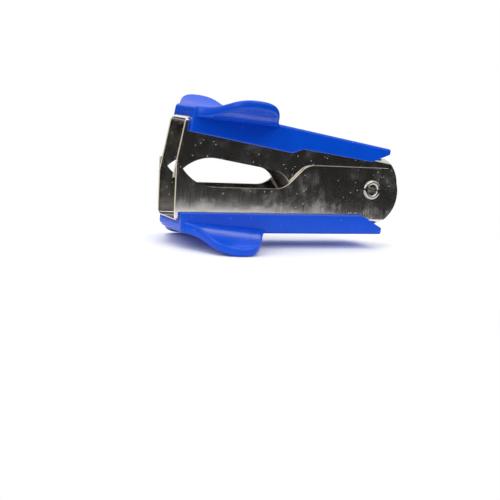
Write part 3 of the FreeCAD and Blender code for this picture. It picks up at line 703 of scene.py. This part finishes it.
# ------------------------------------------------------------------ sheet jaws
JAWS = {
    "outer_jaw": dict(body="lower_half", half=5.25, web=8.1, sign=-1.0, turn=0.0, finish="outer"),
    "inner_jaw": dict(body="upper_half", half=4.5, web=7.7, sign=1.0, turn=SHUT_ANGLE, finish="inner"),
}
EASE = 0.2                          # rounding of the sheared corners, mm
EASED_ANGLE = math.radians(40)      # corners sharper than this are rounded
FLAT_ANGLE = math.radians(0.5)      # faces closer than this are one
# a face is a cut one where its normal leans from Y past the first, or along the jaw past the second
LEANS, ENDS = 0.97, 0.25
PLATE_SKIN, WEB_SKIN, WEB_BAND = 0.03, 1.15, 1.2


def sheared(mesh, jaw):
    """Marks with 1 each face that the shears left: on the side plates those that don't face along Y,
    and on the web those at its front and rear ends."""
    count = len(mesh.polygons)
    normals, middles = np.empty(count * 3), np.empty(count * 3)
    mesh.polygons.foreach_get("normal", normals)
    mesh.polygons.foreach_get("center", middles)
    normals, middles = normals.reshape(-1, 3), middles.reshape(-1, 3) / MM
    c, s = math.cos(jaw["turn"]), math.sin(jaw["turn"])
    height = jaw["sign"] * (middles[:, 0] * s + middles[:, 2] * c)
    ends = np.abs(normals[:, 0] * c - normals[:, 2] * s)
    in_plate = np.abs(middles[:, 1]) > jaw["half"] - SHEET - PLATE_SKIN
    side = (np.abs(normals[:, 1]) < LEANS) & in_plate & (height < jaw["web"] - WEB_SKIN)
    cut = side | ((ends > ENDS) & (height > jaw["web"] - WEB_BAND))
    # this mark also places the painted cream highlight of the cut edges
    mark = mesh.attributes.new("sheared", "FLOAT", "FACE")
    mark.data.foreach_set("value", cut.astype(np.float32))


class STAPLE_OT_jaws(bpy.types.Operator):
    """Finishes the two folded sheet jaws: edges eased, cut edges marked, plated steel"""
    bl_idname = "staple_remover.jaws"
    bl_label = "Sheet Jaws"

    def execute(self, context):
        """Takes each jaw from the frame, merges it and rounds its sheared corners."""
        for name, jaw in JAWS.items():
            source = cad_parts[name].data
            coords = np.empty(len(source.vertices) * 3)
            source.vertices.foreach_get("co", coords)
            corners = np.empty(len(source.loops), np.int32)
            source.loops.foreach_get("vertex_index", corners)
            mesh = bpy.data.meshes.new(name + "_plated")
            mesh.from_pydata(coords.reshape(-1, 3).tolist(), [], corners.reshape(-1, 3).tolist())
            work = bmesh.new()
            work.from_mesh(mesh)
            bmesh.ops.remove_doubles(work, verts=work.verts, dist=MERGE)
            bmesh.ops.dissolve_limit(work, angle_limit=FLAT_ANGLE, verts=work.verts,
                                     edges=work.edges)
            corners_of = [edge for edge in work.edges if edge.calc_face_angle(0) > EASED_ANGLE]
            bmesh.ops.bevel(work, geom=corners_of, offset=EASE * MM, offset_type="OFFSET", segments=3,
                            profile=0.5, affect="EDGES", clamp_overlap=True)
            work.to_mesh(mesh)
            work.free()
            piece = finish_piece(name + "_plated", mesh, jaw["body"],
                                 finishes()[jaw["finish"]], [name], smooth_angle=180.0)
            sheared(mesh, jaw)
            weigh_normals(piece)
        return {"FINISHED"}


# ------------------------------------------------------------------ rivet, lock and spring
RIVET = dict(hole=1.2, body=1.6, head=2.25, end=5.7, plate=5.25)
RIVET_SIDES, KNOB_SIDES, WASHER_SIDES = 64, 72, 64
LIP_STEPS, LIP_SQUARE = 13, 0.8     # points over the rolled lip, and how square its arch is
LOCK = (-5.7, -2.4)                 # the stem's axis at the locked end, x and z


class STAPLE_OT_rivet(bpy.types.Operator):
    """Turns the hollow pivot rivet, with a rolled lip at both ends"""
    bl_idname = "staple_remover.rivet"
    bl_label = "Pivot Rivet"

    def execute(self, context):
        """Turns the section of the tube, whose lips are flattened half circles."""
        angle = np.linspace(math.pi, 0, LIP_STEPS)
        middle, reach = 0.5 * (RIVET["hole"] + RIVET["head"]), 0.5 * (RIVET["head"] - RIVET["hole"])
        radius = middle + reach * np.cos(angle)
        height = RIVET["plate"] + (RIVET["end"] - RIVET["plate"]) * np.sin(angle) ** LIP_SQUARE
        lip = np.column_stack([radius, height])
        profile = np.concatenate([lip, [(RIVET["body"], RIVET["plate"])],
                                  [(RIVET["body"], -RIVET["plate"])], (lip * [1, -1])[::-1]])
        ring = turned(profile, RIVET_SIDES, closed=True)
        piece = new_piece("pivot_rivet_rolled", ring.reshape(-1, 3), grid_faces(*ring.shape[:2]),
                          "lower_half", finishes()["rivet"], ["pivot_rivet"])
        weigh_normals(piece)
        return {"FINISHED"}


class STAPLE_OT_lock(bpy.types.Operator):
    """Turns the sliding lock button and the washer peened on behind it"""
    bl_idname = "staple_remover.lock"
    bl_label = "Lock Button"

    def execute(self, context):
        """Turns the sections of the knob with its stem, and of the washer."""
        button = [(0, 7.20), (1.2, 7.21), (2.0, 7.26), (2.35, 7.33), (2.55, 7.35), (2.75, 7.29),
                  (2.9, 7.17), (2.98, 7.0), (3.0, 6.8), (3.0, 6.45), (2.88, 6.35), (2.88, 6.15), (3.0, 6.05),
                  (3.0, 5.6), (2.93, 5.42), (2.75, 5.35), (1.5, 5.35), (1.5, 3.8), (1.0, 3.8), (1.0, 3.2),
                  (1.3, 3.2), (1.35, 3.12), (1.3, 2.97), (1.1, 2.87), (0.7, 2.85), (0, 2.85)]
        ring = turned(button, KNOB_SIDES, LOCK)
        knob = new_piece("lock_button_turned", ring.reshape(-1, 3), grid_faces(*ring.shape[:2]),
                         "lock", finishes()["turned"], ["lock_button"])
        weigh_normals(knob)
        washer = [(1.0, 3.25), (1.05, 3.2), (2.38, 3.2), (2.47, 3.24), (2.5, 3.33), (2.5, 3.7), (2.46, 3.77),
                  (2.38, 3.8), (1.05, 3.8), (1.0, 3.75)]
        ring = turned(washer, WASHER_SIDES, LOCK, closed=True)
        disc = new_piece("lock_washer_pressed", ring.reshape(-1, 3), grid_faces(*ring.shape[:2]),
                         "lock", finishes()["turned"], ["lock_washer"])
        weigh_normals(disc)
        return {"FINISHED"}


SPRING = dict(wire=0.4, coil=2.6, pitch=1.0, turns=4, y=-0.5, leg_x=-17.0, inset=1.03)
UPPER_SHARE = math.pi       # turn of the coil that goes with the upper leg
OVERLAP = 0.03              # turn by which the two parts of the coil run into each other
COIL_STEPS, UPPER_STEPS, LEG_STEPS = 300, 36, 8


def touching(x, z, radius, below):
    """Angle about the pivot at which a straight wire from (x, z) touches the coil: the bearing of
    the point, swung by the arc cosine of coil radius over distance."""
    swing = math.acos(radius / math.hypot(x, z))
    return math.atan2(z, x) + (swing if below else -swing)


class STAPLE_OT_spring(bpy.types.Operator):
    """Winds the torsion spring: the coil and lower leg on one half, the last half turn and upper
    leg on the other, so that the legs follow their jaws"""
    bl_idname = "staple_remover.spring"
    bl_label = "Torsion Spring"

    def execute(self, context):
        """Carries the wire along a helix between its two straight legs."""
        s = SPRING
        low = (s["leg_x"], s["inset"] - JAWS["outer_jaw"]["web"])
        high = shut(np.array([s["leg_x"], 0.0, JAWS["inner_jaw"]["web"] - s["inset"]]))[[0, 2]]
        start = touching(*low, s["coil"], True)
        finish = touching(*high, s["coil"], False)
        sweep = (finish - start) % (2 * math.pi) + 2 * math.pi * s["turns"]
        rise = s["pitch"] * sweep / (2 * math.pi)
        split = sweep - UPPER_SHARE

        def coil(first, last, steps):
            """Helix about Y: the angle and the height grow together."""
            turn = np.linspace(first, last, steps)
            height = s["y"] - rise / 2 + rise * turn / sweep
            return np.column_stack([s["coil"] * np.cos(start + turn), height,
                                    s["coil"] * np.sin(start + turn)])

        slope = s["pitch"] / (2 * math.pi * s["coil"])

        def leg(tip, corner, way):
            """Straight wire from the tip to the coil, that carries the coil's own slope on."""
            share = np.linspace(0, 1, LEG_STEPS, endpoint=False)[:, None]
            reach = math.hypot(tip[0] - corner[0], tip[1] - corner[2])
            point = np.array([tip[0], corner[1] + way * slope * reach, tip[1]])
            return point + (corner - point) * share

        lower = coil(0, split + OVERLAP, COIL_STEPS)
        lower = np.concatenate([leg(low, lower[0], -1), lower])
        upper = coil(split, sweep, UPPER_STEPS)
        upper = np.concatenate([upper, leg(high, upper[-1], 1)[::-1]])
        for name, path, body, replaced in (("torsion_spring_coil", lower, "lower_half", ["torsion_spring"]),
                                           ("torsion_spring_upper_leg", upper, "upper_half", [])):
            ring = tube(path, s["wire"])
            piece = new_piece(name, ring.reshape(-1, 3), grid_faces(*ring.shape[:2]), body,
                              finishes()["wire"], replaced)
            weigh_normals(piece)
        return {"FINISHED"}


# ------------------------------------------------------------------ floor, lights and camera
FLOOR_GAP, FLOOR_X, FLOOR_SIDES = 0.02, -22.0, 128
CLIP = (0.005, 10.0)        # nearest and furthest seen, metres
MIDDLE = (-25, 0, 0)        # the lights' target
# brightness of the surroundings in reflections, by share of the way from straight down to straight up
SKY = ((0.0, 0.55), (0.34, 0.35), (0.41, 0.03), (0.50, 0.02), (0.545, 0.04), (0.60, 0.55), (0.75, 1.0),
       (1.0, 1.0))
SKY_BLUE = 1.02


def soft_light(name, where, target, size, power):
    """Soft area light that faces the target, sizes and places in millimetres."""
    lamp = bpy.data.lights.new(name, "AREA")
    lamp.shape = "RECTANGLE"
    lamp.size, lamp.size_y = size[0] * MM, size[1] * MM
    lamp.energy = power
    holder = bpy.data.objects.new(name, lamp)
    holder.location = Vector(where) * MM
    holder.rotation_euler = (Vector(target) - Vector(where)).to_track_quat("-Z", "Y").to_euler()
    bpy.context.scene.collection.objects.link(holder)
    return holder


def surroundings():
    """White behind the object as the camera sees it, and for reflections a studio that is bright
    overhead, dark along the horizon and pale at the table."""
    world = bpy.data.worlds.new("soft studio")
    bpy.context.scene.world = world
    world.use_nodes = True
    tree = world.node_tree
    tree.nodes.clear()
    way = node(tree, "ShaderNodeTexCoord").outputs["Generated"]
    height = node(tree, "ShaderNodeSeparateXYZ", {0: way}).outputs[2]
    shade = node(tree, "ShaderNodeValToRGB", {0: sums(tree, "MULTIPLY_ADD", height, 0.5)})
    elements = shade.color_ramp.elements
    for element, (position, value) in zip(elements, (SKY[0], SKY[-1])):
        element.position = position
        element.color = (value, value, value, 1)
    for position, value in SKY[1:-1]:
        elements.new(position).color = (value, value, value * SKY_BLUE, 1)
    lit = node(tree, "ShaderNodeBackground", {"Color": shade.outputs[0], "Strength": 0.9})
    seen = node(tree, "ShaderNodeBackground", {"Color": (1, 1, 1, 1), "Strength": 1.0})
    camera_ray = node(tree, "ShaderNodeLightPath").outputs["Is Camera Ray"]
    both = node(tree, "ShaderNodeMixShader", {0: camera_ray, 1: lit.outputs[0], 2: seen.outputs[0]})
    end = node(tree, "ShaderNodeOutputWorld")
    tree.links.new(both.outputs[0], end.inputs[0])


def pale_floor(sizes):
    """Round table top under the object, with a matt, almost white finish."""
    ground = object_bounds()[0][2] - FLOOR_GAP * MM
    angle = np.linspace(0, 2 * math.pi, FLOOR_SIDES, endpoint=False)
    verts = np.column_stack([np.cos(angle), np.sin(angle), 0 * angle]) * sizes.floor_radius * MM
    verts[:, 0] += FLOOR_X * MM
    verts[:, 2] = ground
    mesh = bpy.data.meshes.new("pale_floor")
    mesh.from_pydata(verts.tolist(), [], [list(range(FLOOR_SIDES))])
    floor = bpy.data.objects.new("pale_floor", mesh)
    bpy.context.scene.collection.objects.link(floor)
    material, tree, shader = new_material("matt white table")
    coords = node(tree, "ShaderNodeTexCoord").outputs["Object"]
    speckle = noise(tree, coords, Scale=6400.0)
    tone = mix_colour(tree, speckle, (0.93, 0.93, 0.935, 1), (0.96, 0.96, 0.96, 1))
    tree.links.new(tone, shader.inputs["Base Color"])
    shader.inputs["Roughness"].default_value = 0.8
    shader.inputs["Specular IOR Level"].default_value = 0.1
    mesh.materials.append(material)
    floor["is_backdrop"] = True


class STAPLE_OT_stage(bpy.types.Operator):
    """Sets the pale floor, the soft studio lights and the camera"""
    bl_idname = "staple_remover.stage"
    bl_label = "Studio Stage"

    def execute(self, context):
        """Places the floor, the surroundings, three softboxes and the camera."""
        sizes = context.scene.staple_remover_stage
        pale_floor(sizes)
        surroundings()
        soft_light("overhead softbox", (-30, 40, 330), MIDDLE, (420, 300), 0.62)
        soft_light("left softbox", (-330, -120, 170), MIDDLE, (240, 240), 0.30)
        soft_light("front fill", (60, -300, 230), MIDDLE, (260, 90), 0.22)
        azimuth, elevation, roll = (math.radians(v) for v in (sizes.azimuth, sizes.elevation, sizes.roll))
        forward = Vector((math.sin(azimuth) * math.cos(elevation), math.cos(azimuth) * math.cos(elevation),
                          -math.sin(elevation)))
        level = Vector((math.cos(azimuth), -math.sin(azimuth), 0.0))
        upright = level.cross(forward)
        right = level * math.cos(roll) + upright * math.sin(roll)
        up = upright * math.cos(roll) - level * math.sin(roll)
        eye = Vector(sizes.aim) * MM - forward * sizes.distance * MM
        lens = bpy.data.cameras.new("camera")
        lens.lens, lens.sensor_width = sizes.lens, 36.0
        lens.clip_start, lens.clip_end = CLIP
        camera = bpy.data.objects.new("camera", lens)
        turn = Matrix((right, up, -forward)).transposed().to_4x4()
        camera.matrix_world = Matrix.Translation(eye) @ turn
        context.scene.collection.objects.link(camera)
        context.scene.camera = camera
        context.scene.view_settings.view_transform = "Standard"
        return {"FINISHED"}


# ------------------------------------------------------------------ panel and registration
PIECES = (STAPLE_OT_grips, STAPLE_OT_jaws, STAPLE_OT_rivet, STAPLE_OT_lock, STAPLE_OT_spring,
          STAPLE_OT_stage)
GROUPS = {"staple_remover_grips": GripSizes, "staple_remover_colours": FinishColours,
          "staple_remover_stage": StageSizes}


class STAPLE_PT_pieces(bpy.types.Panel):
    """Lists the pieces of the staple remover and their sizes"""
    bl_idname = "STAPLE_PT_pieces"
    bl_label = "Staple Remover"
    bl_space_type = "VIEW_3D"
    bl_region_type = "UI"
    bl_category = "Staple Remover"

    def draw(self, context):
        """One button for each operator, and one box for each group of sizes."""
        for piece in PIECES:
            self.layout.operator(piece.bl_idname)
        for key, kind in GROUPS.items():
            box = self.layout.box()
            for name in kind.__annotations__:
                box.prop(getattr(context.scene, key), name)


def register():
    """Registers the classes and hangs the sizes on the scene."""
    for kind in (*GROUPS.values(), *PIECES, STAPLE_PT_pieces):
        bpy.utils.register_class(kind)
    for key, kind in GROUPS.items():
        setattr(bpy.types.Scene, key, PointerProperty(type=kind))


def unregister():
    """Takes the sizes and the classes away again."""
    for key in GROUPS:
        delattr(bpy.types.Scene, key)
    for kind in (STAPLE_PT_pieces, *PIECES[::-1], *list(GROUPS.values())[::-1]):
        bpy.utils.unregister_class(kind)


def main():
    """Builds every piece in order."""
    register()
    for piece in PIECES:
        family, name = piece.bl_idname.split(".")
        getattr(getattr(bpy.ops, family), name)()


if __name__ == "__main__":
    main()
